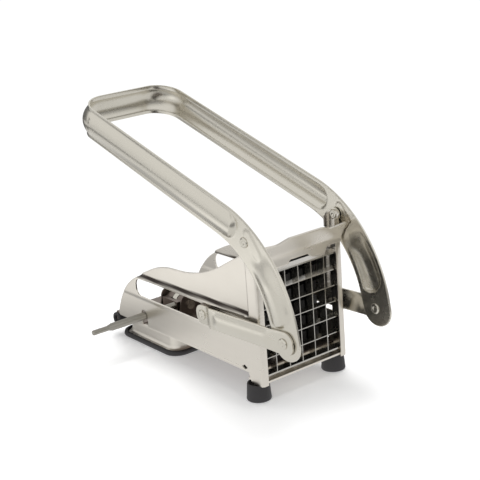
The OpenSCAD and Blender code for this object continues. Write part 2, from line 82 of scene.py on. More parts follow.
# Places of the frame that the dressing is worked out from, in millimetres
BLADE_Y = low("cassette_frame").y
OUTER = high("side_panel_right").x
SHEET = 1.2
EAR_TOP = high("side_panel_right").z
POST_FOOT = low("side_panel_right").z
PANEL_REAR = high("side_panel_right").y
FLOOR_Z = high("floor_plate").z - SHEET
GRID_TOP = high("cassette_frame").z - SHEET
WALL_INSET = 1.0
WALL = (GRID_TOP - FLOOR_Z) / 2 - WALL_INSET + SHEET
PIVOT = joint_at("handle_hinge")
LOW_PIN = joint_at("link_hinge")
ARM_OUT = high("handle").x

# The slide slot, its end behind the blades, and the ledge over it
SLOT_LOW = FLOOR_Z + 24.5
SLOT_HIGH = SLOT_LOW + 14.3
SLOT_END = 151
LEDGE_REAR = SLOT_HIGH + 2.2
LEDGE_FRONT = LEDGE_REAR + 3.5

# How the handle's straight part and the links lean at rest
SLOPE = math.radians(16.2)
LINK_LEN = 94.0
LINK_TILT = math.asin(((SLOT_LOW + SLOT_HIGH) / 2 - LOW_PIN.z) / LINK_LEN)


# ---- Sizes and colours that a user would change ---------------------------


class FryCutterSizes(bpy.types.PropertyGroup):
    """Sizes of the pressed detail."""

    arm_gauge: FloatProperty(
        name="Arm gauge", description="Sheet thickness of the handle and links",
        default=1.3 * MM, min=0.8 * MM, max=1.5 * MM, unit="LENGTH")
    panel_gauge: FloatProperty(
        name="Panel gauge", description="Sheet thickness of the frame",
        default=SHEET * MM, min=0.8 * MM, max=1.5 * MM, unit="LENGTH")
    edge_round: FloatProperty(
        name="Edge rounding", description="Rounding of cut sheet edges",
        default=0.22 * MM, min=0.05 * MM, max=0.4 * MM, unit="LENGTH")
    panel_mesh: FloatProperty(
        name="Panel mesh", description="Distance between a panel's mesh points",
        default=1.15 * MM, min=0.8 * MM, max=3 * MM, unit="LENGTH")


class FryCutterColours(bpy.types.PropertyGroup):
    """Finishes of the visible parts."""

    sheet_steel: FloatVectorProperty(
        name="Sheet steel", description="Stainless sheet of the frame", subtype="COLOR",
        default=(0.74, 0.70, 0.63), min=0, max=1)
    arm_steel: FloatVectorProperty(
        name="Arm steel", description="Stainless of the handle and links", subtype="COLOR",
        default=(0.66, 0.63, 0.555), min=0, max=1)
    blade_steel: FloatVectorProperty(
        name="Blade steel", description="Ground blade strip", subtype="COLOR",
        default=(0.54, 0.52, 0.48), min=0, max=1)
    # Darker steel for the floor, cam and carriage, as painted shade inside the box
    painted_shade_steel: FloatVectorProperty(
        name="Inner steel", description="Dull steel of the floor and the carriage",
        subtype="COLOR", default=(0.24, 0.20, 0.175), min=0, max=1)
    rubber: FloatVectorProperty(
        name="Rubber", description="Feet, pad and bumper", subtype="COLOR",
        default=(0.028, 0.026, 0.027), min=0, max=1)
    plastic: FloatVectorProperty(
        name="Pusher plastic", description="Moulded peg block", subtype="COLOR",
        default=(0.010, 0.010, 0.010), min=0, max=1)
    ground: FloatVectorProperty(
        name="Ground", description="Table and backdrop", subtype="COLOR",
        default=(1.0, 1.0, 1.0), min=0, max=1)


# ---- Shader maths ---------------------------------------------------------

# Noise that isn't drawn out, the near-black tone of painted shade in creases, and the depth of
# relief in metres
EVEN = (1, 1, 1)
PAINTED_SHADE_TONE = (0.045, 0.035, 0.03, 1)
BUMP_DEPTH = 0.0002


class Sock:
    """A shader output that takes part in arithmetic."""

    def __init__(self, web, out):
        self.web = web
        self.out = out

    def _do(self, operation, a, b):
        return self.web.node("ShaderNodeMath", {"operation": operation}, [a, b])

    def __add__(self, other):
        return self._do("ADD", self, other)

    __radd__ = __add__

    def __sub__(self, other):
        return self._do("SUBTRACT", self, other)

    def __rsub__(self, other):
        return self._do("SUBTRACT", other, self)

    def __mul__(self, other):
        return self._do("MULTIPLY", self, other)

    __rmul__ = __mul__


class Web:
    """A material's or world's nodes, each made by one method."""

    def __init__(self, tree):
        self.tree = tree
        tree.nodes.clear()

    def node(self, kind, settings=None, inputs=(), out=0):
        """Make a node, set it, fill its sockets by order or by name, give one output."""
        made = self.tree.nodes.new(kind)
        for key, value in (settings or {}).items():
            setattr(made, key, value)
        pairs = inputs.items() if isinstance(inputs, dict) else enumerate(inputs)
        for key, value in pairs:
            if isinstance(value, Sock):
                self.tree.links.new(value.out, made.inputs[key])
            else:
                made.inputs[key].default_value = value
        return Sock(self, made.outputs[out]) if made.outputs else None

    def grain(self, stretch, scale, detail=3.0, turn=0.0):
        """Noise drawn out along an axis of the piece, which may be turned about X."""
        place = self.node("ShaderNodeTexCoord", out="Object")
        along = self.node("ShaderNodeMapping", {"vector_type": "TEXTURE"}, {
            "Vector": place, "Rotation": (turn, 0, 0), "Scale": [1 / v for v in stretch]})
        return self.node("ShaderNodeTexNoise", None, {
            "Vector": along, "Scale": scale, "Detail": detail, "Roughness": 0.5})

    def step(self, value, start, end):
        """0 at start, 1 at end, smooth between and level beyond."""
        return self.node("ShaderNodeMapRange", {"interpolation_type": "SMOOTHSTEP"},
                         [value, start, end, 0.0, 1.0])

    def axis(self, place, index):
        """One coordinate of a place or a heading."""
        return self.node("ShaderNodeSeparateXYZ", None, [place], out=index)

    def near(self, place, spot, start, end):
        """1 closer to a spot than start, 0 beyond end, in metres."""
        away = self.node("ShaderNodeVectorMath", {"operation": "DISTANCE"},
                         [place, spot], out="Value")
        return 1 - self.step(away, start, end)

    def ray(self, kind):
        """1 where light is followed for the named kind of ray."""
        return self.node("ShaderNodeLightPath", out=kind)

    def blend(self, factor, a, b):
        """Mix two colours."""
        return self.node("ShaderNodeMix", {"data_type": "RGBA"},
                         {0: factor, 6: a, 7: b}, out=2)

    def mix(self, factor, a, b):
        """Mix two shaders."""
        return self.node("ShaderNodeMixShader", None, [factor, a, b])

    def glow(self, colour, strength):
        """A surface that shines by itself."""
        return self.node("ShaderNodeEmission", None, [rgba(colour), strength])

    def sky(self, colour, strength):
        """Light from far away."""
        return self.node("ShaderNodeBackground", None, [rgba(colour), strength])

    def bump(self, height, strength):
        """Normal of a finely uneven skin."""
        return self.node("ShaderNodeBump", None, {
            "Strength": strength, "Distance": BUMP_DEPTH, "Height": height})

    def surface(self, **sockets):
        """Principled surface wired to the output."""
        shader = self.node("ShaderNodeBsdfPrincipled", None, {
            key.replace("_", " "): value for key, value in sockets.items()})
        self.node("ShaderNodeOutputMaterial", None, [shader])


def rgba(colour, gain=1.0):
    """An opaque colour, made lighter or darker by a gain."""
    return (colour[0] * gain, colour[1] * gain, colour[2] * gain, 1.0)


def new_web(name):
    """A material and its emptied nodes."""
    material = bpy.data.materials.get(name) or bpy.data.materials.new(name)
    material.use_nodes = True
    return material, Web(material.node_tree)


def brushed(name, colour, stretch, roughness, scratch=0.10, turn=0.0):
    """Stainless with grain lines along one axis, faint marks and painted shade in creases."""
    material, web = new_web(name)
    painted_shade = web.node("ShaderNodeAttribute", {"attribute_name": "painted_shade"}, out="Fac")
    lines = web.grain(stretch, 420.0, 2.0, turn)
    clouds = web.grain(EVEN, 38.0)
    marks = web.grain(EVEN, 90.0, 2.0)
    tone = web.blend(clouds * 0.6 + lines * 0.4, rgba(colour, 0.95), rgba(colour, 1.05))
    # Painted shade: the tone darkens towards near-black by the shade attribute of the points
    tone = web.blend(painted_shade, tone, PAINTED_SHADE_TONE)
    rough = roughness + (lines - 0.5) * scratch + (clouds - 0.5) * 0.10 + (marks - 0.5) * 0.05
    web.surface(Base_Color=tone, Metallic=1.0, Roughness=rough, Normal=web.bump(lines, 0.004))
    return material


def rubber(name, colour):
    """Soft rubber with a fine leathery skin and dust."""
    material, web = new_web(name)
    skin = web.bump(web.grain(EVEN, 1400.0), 0.12)
    dust = web.grain(EVEN, 90.0, 4.0)
    tone = web.blend(dust, rgba(colour, 0.8), rgba(colour, 1.5))
    web.surface(Base_Color=tone, Roughness=0.62 + (dust - 0.5) * 0.2, Normal=skin)
    return material


def moulded(name, colour):
    """Hard moulded plastic with a satin skin."""
    material, web = new_web(name)
    skin = web.bump(web.grain(EVEN, 700.0), 0.06)
    wear = web.grain(EVEN, 60.0, 4.0)
    tone = web.blend(wear, rgba(colour, 0.7), rgba(colour, 1.6))
    web.surface(Base_Color=tone, Roughness=0.36 + (wear - 0.5) * 0.15, Normal=skin)
    return material


def finish(name):
    """The named material, made on first use from the scene's colours."""
    label = "fc_" + name
    made = bpy.data.materials.get(label)
    if made:
        return made
    colours = bpy.context.scene.fry_colours
    if name == "rubber":
        return rubber(label, colours.rubber)
    if name == "pusher":
        return moulded(label, colours.plastic)
    # Each steel's colour, how far its grain is drawn out, roughness, scratches and lean
    steels = {
        "frame": (colours.sheet_steel, (1, 0.02, 1), 0.30),
        "base": (colours.sheet_steel, (1, 0.05, 1), 0.34),
        "arm": (colours.arm_steel, (1, 0.03, 1), 0.26, 0.02, SLOPE),
        "link": (colours.arm_steel, (1, 0.03, 1), 0.26, 0.02, LINK_TILT),
        "rivet": (colours.arm_steel, EVEN, 0.26, 0.05),
        # The turned rod's steel is the arm steel darkened to 0.55 as painted shade
        "turned": (rgba(colours.arm_steel, 0.55), (0.05, 1, 1), 0.36, 0.06),
        "blade": (colours.blade_steel, (0.02, 1, 0.02), 0.22),
        # Dark inner steel: painted shade for the parts deep inside the box
        "inner": (colours.painted_shade_steel, EVEN, 0.42, 0.06),
    }
    return brushed(label, *steels[name])


# ---- Mesh helpers ---------------------------------------------------------

# Rise of a row of even triangles, and how far they keep from an outline, both in steps
ROW_RISE = 0.866
CLEAR_SHARE = 0.45


def smooth(t):
    """0 below 0, 1 above 1, smooth between."""
    t = np.clip(t, 0.0, 1.0)
    return t * t * (3 - 2 * t)


def arc_corner(before, corner, after, radius, steps=None):
    """Points of the arc that rounds a corner."""
    c = Vector(corner)
    if radius <= 0:
        return [c]
    a = (Vector(before) - c).normalized()
    b = (Vector(after) - c).normalized()
    half = math.acos(max(-1.0, min(1.0, a.dot(b)))) / 2
    middle = c + (a + b).normalized() * radius / math.sin(half)
    start = c + a * radius / math.tan(half) - middle
    sweep = (math.pi - 2 * half) * (1 if a.y * b.x - a.x * b.y > 0 else -1)
    steps = steps or max(6, math.ceil(abs(sweep) * radius / 1.5))
    points = []
    for i in range(steps + 1):
        t = sweep * i / steps
        points.append(middle + Vector((start.x * math.cos(t) - start.y * math.sin(t),
                                       start.x * math.sin(t) + start.y * math.cos(t))))
    return points


def rounded(corners, closed=True, steps=None):
    """Outline through corners (u, v, radius) with tangent arcs."""
    out = []
    count = len(corners)
    for i, (u, v, radius) in enumerate(corners):
        if not closed and i in (0, count - 1):
            out.append(Vector((u, v)))
            continue
        after = corners[(i + 1) % count][:2]
        out += arc_corner(corners[i - 1][:2], (u, v), after, radius, steps)
    return out


def spaced(points, step, closed=True):
    """The outline with points no further apart than step."""
    out = []
    count = len(points)
    for i in range(count if closed else count - 1):
        a, b = points[i], points[(i + 1) % count]
        parts = max(1, math.ceil((b - a).length / step))
        out += [a.lerp(b, k / parts) for k in range(parts)]
    if not closed:
        out.append(points[-1])
    return out


def inside(points, outline):
    """Which of the points lie in the outline."""
    x, y = points[:, 0], points[:, 1]
    hit = np.zeros(len(points), bool)
    ring = np.array([tuple(p) for p in outline])
    for (x0, y0), (x1, y1) in zip(ring, np.roll(ring, -1, axis=0)):
        if y0 == y1:
            continue
        cross = ((y0 > y) != (y1 > y)) & (x < (x1 - x0) * (y - y0) / (y1 - y0) + x0)
        hit ^= cross
    return hit


def edge_distance(points, outline, closed=True):
    """Distance of each point from an outline or an open line."""
    best = np.full(len(points), 1e9)
    ring = np.array([tuple(p) for p in outline])
    ends = np.roll(ring, -1, axis=0)
    for a, b in list(zip(ring, ends))[:None if closed else -1]:
        along = b - a
        size = max(float(along @ along), 1e-12)
        t = np.clip((points - a) @ along / size, 0, 1)
        best = np.minimum(best, np.linalg.norm(points - a - t[:, None] * along, axis=1))
    return best


def sheet_mesh(outline, holes, step, lines=()):
    """Triangles that fill an outline with holes and follow the lines: points and faces."""
    rings = [spaced(outline, step)] + [spaced(h, step) for h in holes]
    ring = np.array([tuple(p) for p in rings[0]])
    lo, hi = ring.min(axis=0), ring.max(axis=0)
    rows = []
    for j, v in enumerate(np.arange(lo[1], hi[1], step * ROW_RISE)):
        u = np.arange(lo[0] + (j % 2) * step / 2, hi[0], step)
        rows.append(np.column_stack([u, np.full(len(u), v)]))
    grid = np.concatenate(rows)
    clear = CLEAR_SHARE * step
    keep = inside(grid, rings[0]) & (edge_distance(grid, rings[0]) > clear)
    for hole in rings[1:]:
        keep &= ~inside(grid, hole) & (edge_distance(grid, hole) > clear)
    for line in lines:
        keep &= edge_distance(grid, line, closed=False) > clear
    points, edges = [], []
    for number, line in enumerate([*rings, *lines]):
        first, count = len(points), len(line)
        points += [tuple(p) for p in line]
        sides = count if number < len(rings) else count - 1
        edges += [(first + i, first + (i + 1) % count) for i in range(sides)]
    points += [tuple(p) for p in grid[keep]]
    verts, _, faces, *_ = delaunay_2d_cdt([Vector(p) for p in points], edges, [], 0, 1e-5)
    flat = np.array([tuple(v) for v in verts])
    tris = np.array([tuple(f) for f in faces])
    middles = flat[tris].mean(axis=1)
    good = inside(middles, rings[0])
    for hole in rings[1:]:
        good &= ~inside(middles, hole)
    return flat, [tuple(int(i) for i in f) for f in tris[good]]


def bake(obj):
    """Apply an object's modifiers to its mesh."""
    graph = bpy.context.evaluated_depsgraph_get()
    made = bpy.data.meshes.new_from_object(obj.evaluated_get(graph))
    old = obj.data
    obj.modifiers.clear()
    obj.data = made
    bpy.data.meshes.remove(old)


def added(name, data):
    """A new object in the scene."""
    obj = bpy.data.objects.new(name, data)
    bpy.context.scene.collection.objects.link(obj)
    return obj


def piece(name, part, body, material, stands_for, gauge=0.0, edge=0.0, sharp=40.0,
          painted_shade=None):
    """Make a piece from a part in millimetres, with a sheet's gauge and rounded edges.

    The shade function gives how far painted shade darkens the steel at an array of points, 0 to
    1.
    """
    verts, faces = part
    mesh = bpy.data.meshes.new(name)
    mesh.from_pydata([tuple(float(c) * MM for c in v) for v in verts], [], faces)
    mesh.validate()
    obj = added(name, mesh)
    if gauge:
        thick = obj.modifiers.new("gauge", "SOLIDIFY")
        thick.thickness = gauge
        thick.offset = -1.0
        thick.use_even_offset = True
        thick.use_quality_normals = True
    if edge:
        soft = obj.modifiers.new("edge", "BEVEL")
        soft.width = edge
        soft.segments = 2
        soft.limit_method = "ANGLE"
        soft.angle_limit = math.radians(55)
    if gauge or edge:
        bake(obj)
    # Painted shade, stored as a point attribute that the steel darkens by
    if painted_shade:
        spots = np.empty(len(obj.data.vertices) * 3)
        obj.data.vertices.foreach_get("co", spots)
        shade = obj.data.attributes.new("painted_shade", "FLOAT", "POINT")
        shade.data.foreach_set("value", painted_shade(spots.reshape(-1, 3) / MM))
    obj.data.polygons.foreach_set("use_smooth", [True] * len(obj.data.polygons))
    obj.data.set_sharp_from_angle(angle=math.radians(sharp))
    obj.data.materials.clear()
    obj.data.materials.append(material)
    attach(obj, body)
    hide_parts(*stands_for)


def lattice(rows, wrap=False):
    """Quads over rows of points."""
    verts = [p for row in rows for p in row]
    wide = len(rows[0])
    faces = []
    for r in range(len(rows) - 1):
        for k in range(wide if wrap else wide - 1):
            a = r * wide + k
            b = r * wide + (k + 1) % wide
            faces.append((a, b, b + wide, a + wide))
    return verts, faces


def join(*parts):
    """Several (verts, faces) as one."""
    verts, faces = [], []
    for v, f in parts:
        first = len(verts)
        verts += list(v)
        faces += [tuple(i + first for i in one) for one in f]
    return verts, faces


def welded(verts, faces):
    """The same mesh with points at one place made one."""
    found, kept, index = {}, [], []
    for vert in verts:
        key = tuple(round(c, 4) + 0.0 for c in vert)
        if key not in found:
            found[key] = len(kept)
            kept.append(vert)
        index.append(found[key])
    return kept, [tuple(index[i] for i in face) for face in faces]


def turned(profile, steps):
    """Profile (radius, height) turned about +Z."""
    rows = []
    for radius, height in profile:
        rows.append([(radius * math.cos(2 * math.pi * k / steps),
                      radius * math.sin(2 * math.pi * k / steps), height)
                     for k in range(steps)])
    return lattice(rows, wrap=True)


def placed(part, matrix):
    """A (verts, faces) moved by a matrix."""
    verts, faces = part
    moved = [tuple(matrix @ Vector(v)) for v in verts]
    if matrix.determinant() < 0:
        faces = [tuple(reversed(f)) for f in faces]
    return moved, faces


def on_side(part, side):
    """A +X part on its own side (1) or mirrored to the other (-1)."""
    return placed(part, Matrix.Diagonal((side, 1, 1, 1)))


def laid(part, x, middle, way=1):
    """A turned part laid along X from x, its top towards +X (1) or -X (-1)."""
    spot = Matrix.Translation((x, middle.y, middle.z))
    return placed(part, spot @ Matrix.Rotation(way * math.pi / 2, 4, "Y"))


def cad_finish(material, *nodes):
    """Give frame nodes a finish."""
    for node in nodes:
        obj = frame["nodes"][node]
        if not obj.material_slots:
            obj.data.materials.append(material)
        for place in obj.material_slots:
            place.link = "OBJECT"
            place.material = material


# ---- Handle ---------------------------------------------------------------

# Half width of the band, its round corner, and where the arm runs into the corner
BAND = 12.2
LOOP_R = 24.0
ARM_END = 16 - LOOP_R
# The arm's flat face, and how far its bulges stand out from it
FLAT_X = OUTER + 2.7
CROWN = ARM_OUT - FLAT_X
# The grip's middle from the pivot
GRIP_BACK = 190.0
GRIP_UP = 59.9
GRIP = PIVOT.yz + Vector((GRIP_BACK, GRIP_UP))
# Flat rim beside the bulge, half width of the bulge, and where it starts
RIM = 2.5
FOOT = BAND - RIM
BULGE_START = 0.6 - GRIP_BACK
# The lower bulge keeps clear of the link's round end, and of its edge at its highest
LINK_LIFT = math.radians(12.8)
LINK_END_CLEAR = 10.0
LINK_EDGE_CLEAR = 8.1
# Rows across the band, closest where the bulge rises
ACROSS = [BAND, 11.3, 10.5, 10.0, 9.7, 9.3, 8.8, 8.1, 7.2, 6.1, 4.8, 3.2, 1.6]
ACROSS = ACROSS + [0.0] + [-v for v in reversed(ACROSS)]


def along(d, h):
    """Point at distance d along the straight part's middle line, h above it."""
    return GRIP + Vector((d * math.cos(SLOPE) - h * math.sin(SLOPE),
                          d * math.sin(SLOPE) + h * math.cos(SLOPE)))


def band(y, z, radius):
    """A corner at (y, z) from the lower pin, in the band's own frame."""
    a, b = Vector((LOW_PIN.y + y, LOW_PIN.z + z)) - GRIP
    return (a * math.cos(SLOPE) + b * math.sin(SLOPE),
            b * math.cos(SLOPE) - a * math.sin(SLOPE), radius)


PIVOT_UV = band(PIVOT.y - LOW_PIN.y, PIVOT.z - LOW_PIN.z, 0)[:2]


def swell(depth, width, soft=0.5):
    """Height of a pressed bulge at a depth inside its foot line, from 0 to 1."""
    t = np.clip(depth / width, 0, 1)
    crest = 1 - (1 - t) ** 2
    foot = 2 / width * (np.clip(depth + soft, 0, None)) ** 2 / (4 * soft)
    return np.where(depth < soft, foot, crest)


def bulge_end(v):
    """Round end of the straight stretch's bulge."""
    return BULGE_START + 8.0 * (1 - np.sqrt(np.clip(1 - (v / FOOT) ** 2, 0, 1)))


def side_height(v):
    """Crown across the straight stretch and round the loop, from 0 to 1."""
    return swell(FOOT - np.abs(v), FOOT)


def lower_height(u, v, edge_depth):
    """Crown of the lower arm's bulge, from 0 to 1."""
    foot = Vector(band(0, 0, 0)[:2])
    up = (Vector(PIVOT_UV) - foot).normalized()
    du, dv = u - foot.x, v - foot.y
    rise = du * up.x + dv * up.y
    aside = dv * up.x - du * up.y
    height = swell(edge_depth - RIM - 0.4, 9.8, 1.2)
    height = height * smooth((rise - 8.6 - 2.6 * ((aside - 3) / 10) ** 2) / 4.2)
    height = height * smooth((61 - rise) / 26) * (aside > -40)
    lean = LINK_TILT + LINK_LIFT - SLOPE
    edge = np.where(du > 0, dv * math.cos(lean) - du * math.sin(lean) - LINK_EDGE_CLEAR, 99)
    return height * smooth(np.minimum(np.hypot(du, dv) - LINK_END_CLEAR, edge) / 2.2)


def pivot_panel(u, v):
    """Shallow raised panel round the pivot, in millimetres."""
    start, end = Vector((-2.2, 6.4)), Vector((-14.5, -2.6))
    run = end - start
    du, dv = u - PIVOT_UV[0] - start.x, v - PIVOT_UV[1] - start.y
    share = np.clip((du * run.x + dv * run.y) / run.length ** 2, 0, 1)
    off = np.hypot(du - share * run.x, dv - share * run.y)
    return 0.32 * smooth((4.6 - off) / 1.5)


def arm_height(u, v, edge_depth):
    """How far the arm's outer face is pressed out, in millimetres."""
    upper = side_height(v) * smooth((u - bulge_end(v)) / 3.2)
    lower = lower_height(u, v, edge_depth)
    panel = pivot_panel(u, v) * (1 - smooth(lower * 6))
    dimple = np.exp(-((u - PIVOT_UV[0] + 14.5) ** 2 + (v - PIVOT_UV[1] + 8.2) ** 2) / 14.0)
    return CROWN * np.maximum(upper, lower) + panel - 0.35 * dimple


def arm_part():
    """One arm up to its corner, +X side."""
    border = rounded([
        (-45.7 - GRIP_BACK, BAND, 98), band(-17.4, -12.7, 12.9), band(8.9, -12.7, 12.9),
        (-23.7 - GRIP_BACK, -BAND, 75), (ARM_END, -BAND, 0), (ARM_END, BAND, 0)])
    outline = border[:-2] + [Vector((ARM_END, v)) for v in reversed(ACROSS)]
    lines = []
    for v in ACROSS[1:-1]:
        stop = float(bulge_end(v)) if abs(v) < FOOT else -8 - GRIP_BACK
        count = int((ARM_END - stop) / 2.6)
        lines.append([Vector((ARM_END + (stop - ARM_END) * k / count, v))
                      for k in range(count + 1)])
    for behind in (0, 0.5, 1.1, 1.6, 2.1, 2.7, 3.2):
        lines.append([Vector((float(bulge_end(v)) + behind, v))
                      for v in np.linspace(-FOOT, FOOT, 27)])
    flat, tris = sheet_mesh(outline, [], 1.1, lines)
    height = arm_height(flat[:, 0], flat[:, 1], edge_distance(flat, border))
    return [(FLAT_X + float(h), *along(a, b)) for h, (a, b) in zip(height, flat)], tris


def loop_part():
    """The corner and half of the grip bar, +X side."""
    middle_x = ARM_OUT - LOOP_R
    reach = [LOOP_R - CROWN * (1 - float(side_height(v))) for v in ACROSS]
    rows = [[(x, *along(ARM_END + r, v)) for r, v in zip(reach, ACROSS)]
            for x in np.linspace(0, middle_x, 11)[:-1]]
    for a in np.linspace(math.pi / 2, 0, 22):
        rows.append([(middle_x + r * math.cos(a), *along(ARM_END + r * math.sin(a), v))
                     for r, v in zip(reach, ACROSS)])
    verts, faces = lattice(rows)
    return verts, [tuple(reversed(f)) for f in faces]


class FRYCUTTER_OT_handle(bpy.types.Operator):
    """Pressed band handle with its grip loop"""

    bl_idname = "fry_cutter.handle"
    bl_label = "Handle"

    def execute(self, context):
        size = context.scene.fry_sizes
        half = join(arm_part(), loop_part())
        piece("handle_loop", welded(*join(half, on_side(half, -1))), "handle", finish("arm"),
              ("handle",), gauge=size.arm_gauge, edge=size.edge_round,
              sharp=50)
        return {"FINISHED"}


# ---- Links ----------------------------------------------------------------

# Half heights of the bar and the rear tab, their round ends, and where the bar narrows
LINK_HALF = 7.75
LINK_ROUND = 9.6
TAB_HALF = 7.2
TAB_ROUND = 6.5
TAB_START = LINK_LEN + 0.5
NECK = 82
# The rib's half height, how far it stands out, where it ends and its round corners
RIB_HALF = 6.3
RIB_OUT = 1.2
RIB_END = 77
RIB_ROUND = 4.5


def link_half(s, front):
    """Half the link's height at distance s from its front pin, whose round end is front."""
    if s < 14:
        return max([abs(p.y) for p in front if abs(p.x - s) < 0.35] or [0.4])
    if s < TAB_START:
        return LINK_HALF + (TAB_HALF - LINK_HALF) * float(smooth((s - NECK) / 6))
    share = (s - TAB_START) / TAB_ROUND
    return TAB_HALF - TAB_ROUND + TAB_ROUND * math.sqrt(max(0.0, 1 - share ** 2))


def rib_height(s, v):
    """Broad round rib that fades into the pad round the front pin, in millimetres."""
    depth = min(RIB_HALF - abs(v), RIB_END - s)
    over = s - RIB_END + RIB_ROUND
    beside = abs(v) - RIB_HALF + RIB_ROUND
    if over > 0 and beside > 0:
        depth = min(depth, RIB_ROUND - math.hypot(over, beside))
    return RIB_OUT * float(swell(np.array(depth), RIB_HALF, 0.6) * smooth((s - 11) / 9))


def link_part():
    """Outer face of a link as it leans at rest, +X side."""
    tab = low("link_right").x + 1.5
    plate = high("link_right").x - RIB_OUT
    front = rounded([(14, -LINK_HALF, 0), (-LINK_ROUND, -8.6, 8.2), (-LINK_ROUND, 8.6, 8.2),
                     (14, LINK_HALF, 0)], closed=False)
    front = spaced(front, 0.3, closed=False)
    # Rows closest at the round ends and at the neck
    stations = list(-LINK_ROUND * np.cos(np.linspace(0.04, 1, 14) * math.pi / 2))
    stations += list(np.arange(1.2, NECK, 1.6)) + list(np.arange(NECK, 89, 0.8))
    stations += list(np.arange(89.5, 95, 1.5))
    stations += list(TAB_START + TAB_ROUND * np.sin(np.linspace(0.05, 0.998, 12) * math.pi / 2))
    rows = []
    for s in stations:
        half = link_half(s, front)
        base = plate + (tab - plate) * float(smooth((s - NECK + 0.5) / 7))
        row = []
        for turn in np.linspace(-math.pi / 2, math.pi / 2, 33):
            v = math.sin(turn) * half
            border = 0.2 * float(smooth((abs(v) - half + 1.4) / 1.2)) if s < 80 else 0
            row.append((base + rib_height(s, v) - border, s, v))
        rows.append(row)
    lean = Matrix.Translation((0, LOW_PIN.y, LOW_PIN.z)) @ Matrix.Rotation(LINK_TILT, 4, "X")
    verts, faces = placed(lattice(rows), lean)
    return verts, [tuple(reversed(f)) for f in faces]


class FRYCUTTER_OT_links(bpy.types.Operator):
    """Pressed link bars between the handle and the pusher"""

    bl_idname = "fry_cutter.links"
    bl_label = "Links"

    def execute(self, context):
        size = context.scene.fry_sizes
        part = link_part()
        for side, name in ((1, "link_right"), (-1, "link_left")):
            piece(name + "_bar", on_side(part, side), "links", finish("link"),
                  (name,), gauge=size.arm_gauge, edge=size.edge_round,
                  sharp=50)
        return {"FINISHED"}


# ---- Side panels ----------------------------------------------------------

# The post's front face and rear edge, and the stepped-in wall's front, from the blades
POST_FRONT = -2
POST_REAR = 10.7
WALL_FRONT = 8.9
# The ledge's start and run, and the front of the pressed lower field
LEDGE_START = 9.5
LEDGE_RUN = 136.5
FIELD_FRONT = 13.6
# The bend at the post's front and the width folded inwards behind it
BEND = 1.6
FOLD = 5.4


def rounded_depth(y, z, y0, z1, radius):
    """How far a point lies inside the corner of a region y > y0, z < z1."""
    dy, dz = y - y0, z1 - z
    a, b = radius - dy, radius - dz
    corner = radius - np.hypot(np.maximum(a, 0), np.maximum(b, 0))
    return np.where((a > 0) & (b > 0), corner, np.minimum(dy, dz))


def ledge_at(y):
    """Height of the ledge over the slot at a place behind the blades."""
    share = np.clip((y - LEDGE_START) / LEDGE_RUN, 0, 1)
    return LEDGE_FRONT + (LEDGE_REAR - LEDGE_FRONT) * share


def panel_x(y, z):
    """Outer face of a side panel at a place behind the blades."""
    ledge = ledge_at(y)
    up = smooth((z - ledge + 1.4) / 2.0)
    back = smooth((y - WALL_FRONT) / 2.0)
    x = OUTER - (OUTER - WALL) * up * back
    # Lip over the slot, which fades before the slot's rear corner
    lip = (z > SLOT_HIGH - 0.2) & (z < ledge) & (y > 9)
    x = x - 0.8 * lip * smooth((SLOT_END - 8 - y) / 14) * (1 - smooth((z - SLOT_HIGH) / 1.8))
    field = rounded_depth(y, z, FIELD_FRONT, SLOT_LOW - 1.7, 7.0)
    x = x - 0.5 * smooth(field / 1.1 + 0.5) * (y > 8)
    bend = np.clip(BEND - (y - POST_FRONT), 0, BEND)
    return x - (BEND - np.sqrt(np.maximum(BEND ** 2 - bend ** 2, 0)))


def panel_painted_shade(spots):
    """Painted shade along the ledge's foot and down the front of the stepped-in wall."""
    y, z = spots[:, 1] - BLADE_Y, spots[:, 2]
    ledge = ledge_at(y)
    foot = smooth((1.5 - np.abs(z - ledge + 0.1)) / 0.9) * (y > 9)
    front = 0.7 * smooth((1.2 - np.abs(y - 9.9)) / 0.8) * (z > ledge)
    return np.maximum(foot, front)


def folded(verts, tris):
    """The panel with its post's front edge and its ear's rear edge turned inwards."""
    sides = {(a, b) for face in tris for a, b in zip(face, face[1:] + face[:1])}
    verts, tris = list(verts), list(tris)
    made = {}

    def inner(i, x):
        if (i, x) not in made:
            made[(i, x)] = len(verts)
            verts.append((x, verts[i][1], verts[i][2]))
        return made[(i, x)]

    def on_edge(i, place, low_z, high_z):
        _, y, z = verts[i]
        return abs(y - BLADE_Y - place) < 0.02 and low_z < z < high_z

    # In the order of the faces, so that the mesh is the same every time
    for face in list(tris):
        for a, b in zip(face, face[1:] + face[:1]):
            if (b, a) in sides:
                continue
            if all(on_edge(i, POST_FRONT, -1, EAR_TOP - 3.4) for i in (a, b)):
                tris.append((b, a, inner(a, OUTER - FOLD), inner(b, OUTER - FOLD)))
            elif all(on_edge(i, POST_REAR, LEDGE_REAR + 46, EAR_TOP - 4.4) for i in (a, b)):
                tris.append((b, a, inner(a, WALL - SHEET), inner(b, WALL - SHEET)))
    return verts, tris


